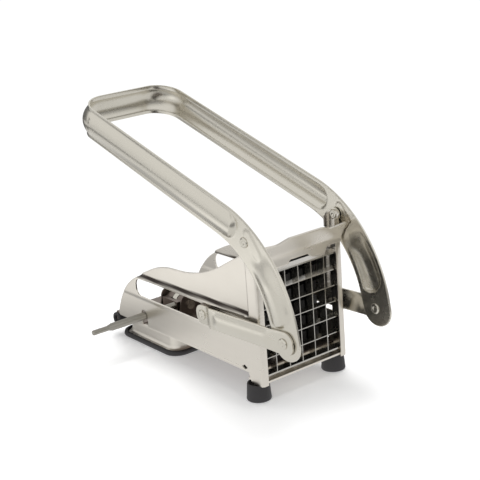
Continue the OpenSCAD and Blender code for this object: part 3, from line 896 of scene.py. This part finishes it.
class FRYCUTTER_OT_panels(bpy.types.Operator):
    """Side panels with posts, slide slots, stepped walls and pressed fields"""

    bl_idname = "fry_cutter.panels"
    bl_label = "Side panels"

    def execute(self, context):
        size = context.scene.fry_sizes
        rear = PANEL_REAR - BLADE_Y
        post = [(POST_FRONT, POST_FOOT, 0), (POST_REAR, POST_FOOT, 0.6), (13.2, FLOOR_Z, 1)]
        above = [(rear, FLOOR_Z, 2), (rear - 9, FLOOR_Z + 27.8, 62),
                 (rear - 35, LEDGE_REAR - 0.3, 0.8), (rear - 37.8, LEDGE_REAR + 2.3, 2),
                 (118.5, LEDGE_REAR + 14.1, 85), (67.3, LEDGE_REAR + 16.8, 122),
                 (POST_REAR, LEDGE_REAR + 47.8, 1.5), (POST_REAR, EAR_TOP, 4.5),
                 (POST_FRONT, EAR_TOP, 3)]
        slot = rounded([(-0.5, SLOT_LOW, 6), (SLOT_END, SLOT_LOW, 6),
                        (SLOT_END, SLOT_HIGH, 6), (-0.5, SLOT_HIGH, 6)])
        drain = rounded([(14.6, FLOOR_Z + 2.8, 0.4), (18, FLOOR_Z + 1, 0.4),
                         (21.3, FLOOR_Z + 2.8, 0.4), (18, FLOOR_Z + 4.6, 0.4)])
        # The lever's rod comes out through a notch on the left
        rod_front = low("lever_rod").y - BLADE_Y - 1
        rod_rear = high("lever_rod").y - BLADE_Y + 1
        rod_top = high("lever_rod").z + 1.5
        notch = [(rod_front, FLOOR_Z, 0), (rod_front, rod_top, 3.5),
                 (rod_rear, rod_top, 3.5), (rod_rear, FLOOR_Z, 0)]
        for side, name, bottom in ((1, "side_panel_right", post),
                                   (-1, "side_panel_left", post + notch)):
            flat, tris = sheet_mesh(rounded(bottom + above), [slot, drain],
                                    size.panel_mesh / MM)
            x = panel_x(flat[:, 0], flat[:, 1])
            verts = [(float(a), float(p[0]) + BLADE_Y, float(p[1])) for a, p in zip(x, flat)]
            # The sheet darkens with painted shade along the ledge's foot and the stepped-in
            # wall's front
            piece(name + "_sheet", on_side(folded(verts, tris), side), "frame",
                  finish("frame"), (name,), gauge=size.panel_gauge,
                  edge=size.edge_round * 0.7, sharp=48, painted_shade=panel_painted_shade)
        return {"FINISHED"}


# ---- Guard, feet, base ----------------------------------------------------


class FRYCUTTER_OT_guard(bpy.types.Operator):
    """Notched guard plate over the blades"""

    bl_idname = "fry_cutter.guard"
    bl_label = "Guard plate"

    def execute(self, context):
        size = context.scene.fry_sizes
        g = GRID_TOP
        # Right half, from the middle of the notched lower edge to the top's middle
        half = [(8, g + 6.8, 1.5), (11, g + 3.8, 2.5), (24, g + 3.8, 2.5), (26, g + 8, 1.5),
                (OUTER, g + 8, 0.6), (OUTER, g + 23.8, 2), (24, g + 22.3, 12),
                (15, g + 25.5, 8)]
        outline = rounded(half + [(-x, z, r) for x, z, r in reversed(half)])
        flat, tris = sheet_mesh(outline, [], 1.3)
        # Upright below the bend and leaning forward above it
        lean = 8.9 / 14.1
        face = BLADE_Y + POST_FRONT - 0.05
        verts = []
        for x, z in flat:
            rise = z - (g + 11.7)
            over = 0.5 * (rise + math.sqrt(rise * rise + 1.5))
            verts.append((x, face - lean * over, z))
        piece("guard_sheet", (verts, tris), "frame", finish("frame"),
              ("guard_plate",), gauge=size.panel_gauge, edge=size.edge_round, sharp=45)
        return {"FINISHED"}


class FRYCUTTER_OT_feet(bpy.types.Operator):
    """Rubber feet under the posts"""

    bl_idname = "fry_cutter.feet"
    bl_label = "Front feet"

    def execute(self, context):
        lowest, highest = low("front_foot_right"), high("front_foot_right")
        middle = (lowest + highest) / 2
        tall = highest.z
        wide = (highest.x - lowest.x) / 2
        profile = [(4.2, 5), (4.2, 0.6), (4.8, 0), (wide - 1, 0), (wide - 0.3, 0.25),
                   (wide, 0.9), (wide - 0.25, 3), (wide - 0.9, tall - 0.8),
                   (wide - 1.1, tall - 0.2), (wide - 1.5, tall), (wide - 2.1, tall - 0.1),
                   (wide - 2.4, tall - 0.6), (wide - 2.6, tall - 2.6), (wide - 3.2, tall - 3),
                   (2.4, tall - 3), (2.4, 5), (4.2, 5)]
        for side, name in ((1, "front_foot_right"), (-1, "front_foot_left")):
            spot = Matrix.Translation((side * middle.x, middle.y, 0))
            piece(name + "_rubber", placed(turned(profile, 64), spot), "frame",
                  finish("rubber"), (name,), sharp=38)
        return {"FINISHED"}


def rounded_loop(half_x, half_y, radius, z):
    """One level of a rounded rectangle."""
    corners = [(-half_x, -half_y, radius), (half_x, -half_y, radius),
               (half_x, half_y, radius), (-half_x, half_y, radius)]
    return [(p.x, p.y, z) for p in rounded(corners, steps=10)]


class FRYCUTTER_OT_base(bpy.types.Operator):
    """Suction dome and rubber pad"""

    bl_idname = "fry_cutter.base"
    bl_label = "Suction base"

    def execute(self, context):
        self.dome()
        self.pad()
        return {"FINISHED"}

    def dome(self):
        """Pressed cup, from its inset, height and corner radius at each level."""
        highest = high("suction_dome")
        levels = [(0, 1.52, 10), (0, 2.3, 10), (0.5, 2.9, 10), (1.6, 3.3, 9.5),
                  (2.5, 4.2, 9), (3.0, 6.0, 9), (3.3, 10, 9), (3.6, 13.2, 9), (4.2, 14.6, 9),
                  (5.6, 15.8, 9), (8.0, 17.0, 9), (11.2, 18.3, 9), (13.2, 19.1, 8.5),
                  (14.5, 19.45, 8), (20, 19.5, 4)]
        rows = [rounded_loop(highest.x - a, highest.y - a * 0.8, r, z) for a, z, r in levels]
        piece("suction_dome_cup", lattice(rows, wrap=True), "frame", finish("base"),
              ("suction_dome",), gauge=1.0 * MM, sharp=45)

    def pad(self):
        """Rubber pad with a round rim and a sunk middle, level by level."""
        highest = high("suction_pad")
        rim = 4.0
        sunk = 1.5
        levels = [(30, 0.0, 4), (1.2, 0.0, 11), (0.4, 0.25, 11.6), (0, 1.0, 12), (0.2, 2.6, 12),
                  (0.6, rim - 0.5, 11.6), (1.2, rim - 0.1, 11.2), (1.9, rim, 10.6),
                  (2.4, rim - 0.2, 10.3), (2.6, rim - 0.8, 10.2), (2.6, sunk + 0.1, 10.2),
                  (3.6, sunk, 9.5), (30, sunk, 4)]
        rows = [rounded_loop(highest.x - a, highest.y - a, r, z) for a, z, r in levels]
        verts, faces = lattice(rows, wrap=True)
        count = len(rows[0])
        faces.append(tuple(reversed(range(count))))
        faces.append(tuple(range(len(verts) - count, len(verts))))
        piece("suction_pad_rubber", (verts, faces), "frame", finish("rubber"),
              ("suction_pad",), sharp=42)


class FRYCUTTER_OT_bumper(bpy.types.Operator):
    """Rubber tube on the rear edge"""

    bl_idname = "fry_cutter.bumper"
    bl_label = "Rear bumper"

    def execute(self, context):
        lowest, highest = low("rear_bumper"), high("rear_bumper")
        r = (highest.z - lowest.z) / 2
        half = (highest.x - lowest.x) / 2
        # Radius and depth of one end, from the bottom of its bore to the outside
        end = [(0, 6.2), (r - 2.6, 6), (r - 2.6, 0.5), (r - 2.2, 0), (r - 0.7, 0),
               (r - 0.2, 0.25), (r, 0.9)]
        profile = [(a, depth - half) for a, depth in end] + [(r, 0)]
        profile += [(a, half - depth) for a, depth in reversed(end)]
        part = laid(turned(profile, 40), 0, (lowest + highest) / 2)
        piece("rear_bumper_tube", part, "frame", finish("rubber"),
              ("rear_bumper",), sharp=40)
        return {"FINISHED"}


# ---- Fasteners ------------------------------------------------------------

SHANK_R = 2.5
HEAD_TALL = 1.3


def rivet_head(radius, tall):
    """Low dome with a small set-in middle, base at height 0."""
    return [(radius, -0.05), (radius, 0.15 * tall), (radius * 0.97, 0.42 * tall),
            (radius * 0.88, 0.72 * tall), (radius * 0.72, 0.93 * tall),
            (radius * 0.5, tall), (radius * 0.42, 0.96 * tall), (radius * 0.34, 0.62 * tall),
            (radius * 0.2, 0.55 * tall), (0.0, 0.53 * tall)]


class FRYCUTTER_OT_rivets(bpy.types.Operator):
    """Rivets of the pivots and the links"""

    bl_idname = "fry_cutter.rivets"
    bl_label = "Rivets"

    def execute(self, context):
        self.pair("pivot_rivets", "frame", 3.8, OUTER - SHEET, (3.5, 0.5))
        self.pair("lower_rivets", "handle", 3.9, OUTER + 1.2, (3.9, 0.8))
        self.pair("link_rivets", "links", 3.8, OUTER + 0.4)
        return {"FINISHED"}

    def pair(self, node, body, radius, inner_end, inner_head=None):
        """One rivet on each side, head outwards, with a smaller head inside or none."""
        highest = high(node)
        middle = (low(node) + highest) / 2
        head_x = highest.x - HEAD_TALL
        shank = [(SHANK_R, 0), (SHANK_R, head_x - inner_end)]
        parts = [laid(turned(rivet_head(radius, HEAD_TALL), 40), head_x, middle),
                 laid(turned(shank, 32), inner_end, middle)]
        if inner_head:
            parts.append(laid(turned(rivet_head(*inner_head), 40), inner_end, middle, -1))
        else:
            parts.append(laid(turned([(SHANK_R, 0), (0, 0)], 32), inner_end, middle))
        half = join(*parts)
        piece(node + "_heads", join(half, on_side(half, -1)), body, finish("rivet"),
              (node,), sharp=50)


class FRYCUTTER_OT_rod(bpy.types.Operator):
    """Suction lever rod with its stepped, rounded tip"""

    bl_idname = "fry_cutter.rod"
    bl_label = "Suction lever"

    def execute(self, context):
        lowest, highest = low("lever_rod"), high("lever_rod")
        length = highest.x - lowest.x
        r = (highest.z - lowest.z) / 2
        tip_r = r * 0.66
        step = length - 17
        tip_round = 1.6
        profile = [(0, 0), (r, 0), (r, step - 0.5), (r - 0.3, step), (r * 0.72, step + 2.4),
                   (tip_r, step + 3.2), (tip_r, length - tip_round)]
        profile += [(tip_r * math.cos(a), length - tip_round + tip_round * math.sin(a))
                    for a in np.linspace(0.2, math.pi / 2, 7)]
        part = laid(turned(profile, 40), highest.x, (lowest + highest) / 2, -1)
        piece("lever_rod_turned", part, "suction_lever", finish("turned"),
              ("lever_rod",), sharp=40)
        return {"FINISHED"}


class FRYCUTTER_OT_inner(bpy.types.Operator):
    """Finishes of the frame's own parts"""

    bl_idname = "fry_cutter.inner"
    bl_label = "Inner parts"

    def execute(self, context):
        cad_finish(finish("frame"), "front_sill")
        # Floor, cam bracket, lever cam and carriage get the dark inner steel as painted shade
        cad_finish(finish("inner"), "floor_plate", "cam_bracket", "lever_cam",
                   "pusher_carriage")
        cad_finish(finish("blade"), "cassette_frame", "vertical_blades", "horizontal_blades")
        cad_finish(finish("rivet"), "foot_screws", "pivot_washers", "cam_pin",
                   "suction_stud", "carriage_screws")
        cad_finish(finish("pusher"), "pusher_block")
        return {"FINISHED"}


# ---- Stage ----------------------------------------------------------------

# The camera's heading, rise and roll in degrees, its aim and distance, and its lens
VIEW_TURN = -37.01
VIEW_RISE = 17.72
VIEW_ROLL = -4.36
VIEW_AIM = (-15.37, -106.22, 104.89)
VIEW_BACK = 854.8
VIEW_LENS = 90.3
LAMP_AIM = (0, -60, 60)
TABLE_HALF = 4000
TABLE_Z = -0.2


class FRYCUTTER_OT_stage(bpy.types.Operator):
    """White table, soft lamps and the camera"""

    bl_idname = "fry_cutter.stage"
    bl_label = "Stage"

    def execute(self, context):
        ground = context.scene.fry_colours.ground
        self.floor(ground)
        self.world(ground)
        self.lamp("key", (260, 60, 1250), 900, 15.0)
        self.lamp("fill", (-1100, -500, 1000), 1500, 3.0)
        self.lamp("back", (-300, 1300, 1000), 1200, 3.0)
        self.camera(context)
        return {"FINISHED"}

    def floor(self, ground):
        """Table that turns to plain white away from the piece."""
        verts = [(x * TABLE_HALF * MM, y * TABLE_HALF * MM, TABLE_Z * MM)
                 for x, y in ((-1, -1), (1, -1), (1, 1), (-1, 1))]
        mesh = bpy.data.meshes.new("table")
        mesh.from_pydata(verts, [], [(0, 1, 2, 3)])
        obj = added("table", mesh)
        material, web = new_web("fc_table")
        place = web.node("ShaderNodeTexCoord", out="Object")
        matt = web.node("ShaderNodeBsdfDiffuse", None, [rgba(ground, 0.82)])
        matt = web.node("ShaderNodeAddShader", None, [matt, web.glow(ground, 0.27)])
        shown = web.mix(web.near(place, (-0.02, -0.06, 0), 0.13, 0.27),
                        web.glow(ground, 1.05), matt)
        mirrored = self.mirrored_table(web, place, ground)
        seen = web.mix(web.ray("Is Camera Ray"), mirrored, shown)
        web.node("ShaderNodeOutputMaterial", None, [seen])
        mesh.materials.append(material)

    def mirrored_table(self, web, place, ground):
        """What the steel mirrors: the table as a glowing sheet, with painted shade towards both
        ends of the room.
        """
        side = web.axis(place, 0)
        rear = web.axis(place, 1)
        # Painted shade on the mirrored table towards the rear, except on the left, and towards
        # the front
        clear_left = web.step(rear, 0.68, 0.95) * web.step(side, -0.15, -0.35)
        painted_dimming = 0.95 * web.step(rear, 0.47, 0.58) * (1 - clear_left)
        painted_dimming = painted_dimming + 0.8 * web.step(rear, -0.30, -0.50)
        # Painted shadow beside the left wall and under the grip, and a painted pool of light on
        # the left
        painted_dimming = painted_dimming + (1 - painted_dimming) * web.near(place, (-0.085, 0.05, 0), 0.02, 0.08) * 0.6
        painted_dimming = painted_dimming + (1 - painted_dimming) * web.near(place, (0.0, 0.20, 0), 0.08, 0.20) * 0.45
        table = web.mix(painted_dimming, web.glow(ground, 0.84), web.glow(ground, 0.08))
        painted_light_pool = 0.8 * web.near(place, (-0.20, 0.10, 0), 0.05, 0.15)
        return web.mix(painted_light_pool, table, web.glow(ground, 1.35))

    def world(self, ground):
        """Bright room with a dark wall behind the grip, a low one in front and a ceiling."""
        world = bpy.data.worlds.new("fc_room")
        bpy.context.scene.world = world
        world.use_nodes = True
        web = Web(world.node_tree)
        heading = web.node("ShaderNodeTexCoord", out="Generated")
        rear = web.axis(heading, 1)
        rise = web.axis(heading, 2)
        wall = 0.85 * (1 - web.step(rise, 0.45, 0.75)) * web.step(rear, 0.79, 0.90)
        front = (1 - web.step(rise, 0.0, 0.35)) * (0.6 * web.step(rear, -0.45, -0.8) + 0.06)
        ceiling = 0.4 * web.step(rise, 0.55, 0.95)
        room = web.mix(wall + front + ceiling, web.sky(ground, 0.95), web.sky(ground, 0.08))
        # Soft light from all round, weaker than the lamps so that shadows keep
        room = web.mix(web.ray("Is Diffuse Ray"), room, web.sky(ground, 0.32))
        seen = web.mix(web.ray("Is Camera Ray"), room, web.sky(ground, 1.0))
        web.node("ShaderNodeOutputWorld", None, [seen])

    def lamp(self, name, place, width, watts):
        """Square soft lamp that steel doesn't mirror."""
        light = bpy.data.lights.new(name, "AREA")
        light.size = width * MM
        light.energy = watts
        obj = added(name, light)
        obj.location = Vector(place) * MM
        aim = Vector(LAMP_AIM) - Vector(place)
        obj.rotation_euler = aim.to_track_quat("-Z", "Y").to_euler()
        obj.visible_glossy = False

    def camera(self, context):
        """Camera that looks back at the piece from its front left, a little rolled."""
        turn, rise, roll = (math.radians(a) for a in (VIEW_TURN, VIEW_RISE, VIEW_ROLL))
        back = Vector((math.sin(turn) * math.cos(rise), -math.cos(turn) * math.cos(rise),
                       math.sin(rise)))
        right = (-back).cross(Vector((0, 0, 1))).normalized()
        up = right.cross(-back)
        across = right * math.cos(roll) + up * math.sin(roll)
        upward = up * math.cos(roll) - right * math.sin(roll)
        eye = (Vector(VIEW_AIM) + back * VIEW_BACK) * MM
        data = bpy.data.cameras.new("view")
        data.lens = VIEW_LENS
        data.sensor_width = 36
        data.clip_start = 0.05
        data.clip_end = 50
        obj = added("view", data)
        obj.matrix_world = Matrix(((across.x, upward.x, back.x, eye.x),
                                   (across.y, upward.y, back.y, eye.y),
                                   (across.z, upward.z, back.z, eye.z),
                                   (0, 0, 0, 1)))
        context.scene.camera = obj
        context.scene.view_settings.view_transform = "Standard"


class FRYCUTTER_PT_panel(bpy.types.Panel):
    """Pieces of the fry cutter"""

    bl_label = "Fry Cutter"
    bl_idname = "FRYCUTTER_PT_panel"
    bl_space_type = "VIEW_3D"
    bl_region_type = "UI"
    bl_category = "Fry Cutter"

    def draw(self, context):
        layout = self.layout
        for group in (context.scene.fry_sizes, context.scene.fry_colours):
            for name in group.__annotations__:
                layout.prop(group, name)
        for operator in PIECES:
            layout.operator(operator.bl_idname)


PIECES = (
    FRYCUTTER_OT_inner,
    FRYCUTTER_OT_panels,
    FRYCUTTER_OT_guard,
    FRYCUTTER_OT_feet,
    FRYCUTTER_OT_base,
    FRYCUTTER_OT_bumper,
    FRYCUTTER_OT_rod,
    FRYCUTTER_OT_links,
    FRYCUTTER_OT_handle,
    FRYCUTTER_OT_rivets,
    FRYCUTTER_OT_stage,
)
CLASSES = (FryCutterSizes, FryCutterColours, *PIECES, FRYCUTTER_PT_panel)


def register():
    for cls in CLASSES:
        bpy.utils.register_class(cls)
    bpy.types.Scene.fry_sizes = PointerProperty(type=FryCutterSizes)
    bpy.types.Scene.fry_colours = PointerProperty(type=FryCutterColours)


def unregister():
    del bpy.types.Scene.fry_colours
    del bpy.types.Scene.fry_sizes
    for cls in reversed(CLASSES):
        bpy.utils.unregister_class(cls)


def main():
    register()
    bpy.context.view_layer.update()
    bpy.ops.fry_cutter.inner()
    bpy.ops.fry_cutter.panels()
    bpy.ops.fry_cutter.guard()
    bpy.ops.fry_cutter.feet()
    bpy.ops.fry_cutter.base()
    bpy.ops.fry_cutter.bumper()
    bpy.ops.fry_cutter.rod()
    bpy.ops.fry_cutter.links()
    bpy.ops.fry_cutter.handle()
    bpy.ops.fry_cutter.rivets()
    bpy.ops.fry_cutter.stage()


if __name__ == "__main__":
    main()
